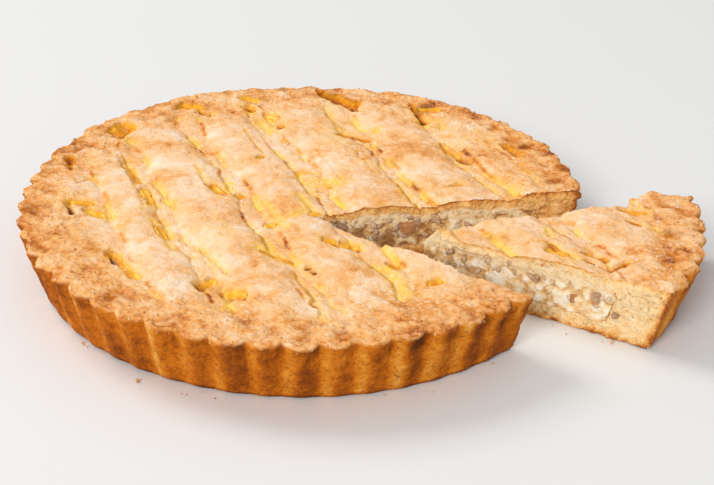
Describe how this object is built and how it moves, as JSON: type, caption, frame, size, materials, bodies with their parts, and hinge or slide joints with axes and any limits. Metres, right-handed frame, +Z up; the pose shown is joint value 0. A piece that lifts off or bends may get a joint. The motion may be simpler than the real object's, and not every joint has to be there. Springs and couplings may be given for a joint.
{
  "type": "pastiera",
  "caption": "Round fluted ricotta and wheat tart with a lattice top, one slice cut and drawn out.",
  "frame": {"origin": "middle of the foot of the box round the tart and its slice, on the surface they stand on", "axes": "+Z up, +X the long way, from the tart towards the drawn out slice, +Y away from the side of the tart that faces the viewer"},
  "size_m": [0.3106, 0.26, 0.03],
  "materials": {
    "crust": "baked shortcrust, golden brown, sandy",
    "lattice": "baked shortcrust, pale gold, crackled",
    "filling": "ricotta and wheat, moist, glossy where it browned",
    "peel": "candied orange peel, sticky"
  },
  "bodies": {
    "root": {"crust": "crust", "filling": "filling", "low_strip_1": "lattice", "low_strip_2": "lattice", "low_strip_3": "lattice", "low_strip_4": "lattice", "low_strip_5": "lattice", "high_strip_1": "lattice", "high_strip_2": "lattice", "high_strip_3": "lattice", "high_strip_4a": "lattice", "high_strip_4b": "lattice", "high_strip_5": "lattice", "high_strip_6": "lattice", "candied_peel_gap": "peel", "slice_crust": "crust", "slice_filling": "filling", "slice_low_strip_1": "lattice", "slice_low_strip_2": "lattice", "slice_high_strip_3": "lattice", "slice_high_strip_4": "lattice", "slice_high_strip_5": "lattice", "candied_peel_slice_1": "peel", "candied_peel_slice_2": "peel"}
  },
  "joints": []
}
